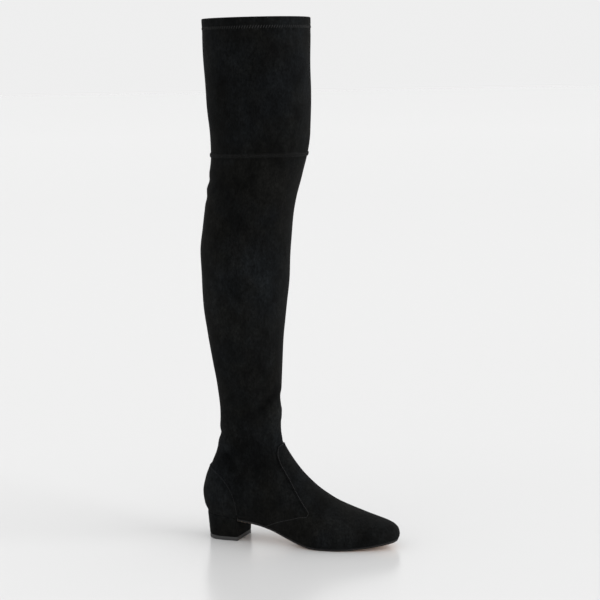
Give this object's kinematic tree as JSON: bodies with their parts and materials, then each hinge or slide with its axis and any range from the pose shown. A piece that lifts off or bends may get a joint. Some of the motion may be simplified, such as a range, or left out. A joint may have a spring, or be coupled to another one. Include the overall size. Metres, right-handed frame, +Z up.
{
  "type": "thigh high boot",
  "caption": "Right thigh high boot in black stretch suede with a low covered block heel, almond square toe and a seam above the knee.",
  "frame": {"origin": "centre of the heel's flat rest face on the floor", "axes": "+Z up, +X towards the toe, +Y towards the medial side, so the lateral side is at -Y"},
  "size_m": [0.2693, 0.135, 0.6801],
  "materials": {
    "suede": "matte",
    "sole_leather": "satin",
    "insole_leather": "matte",
    "heel_rubber": "matte",
    "heel_block_core": "matte"
  },
  "bodies": {
    "root": {"outsole": "sole_leather", "insole": "insole_leather", "heel_block": "heel_block_core", "heel_top_piece": "heel_rubber", "upper": "suede", "vamp": "suede", "heel_counter": "suede", "thigh_panel": "suede", "knee_band": "suede"}
  },
  "joints": []
}
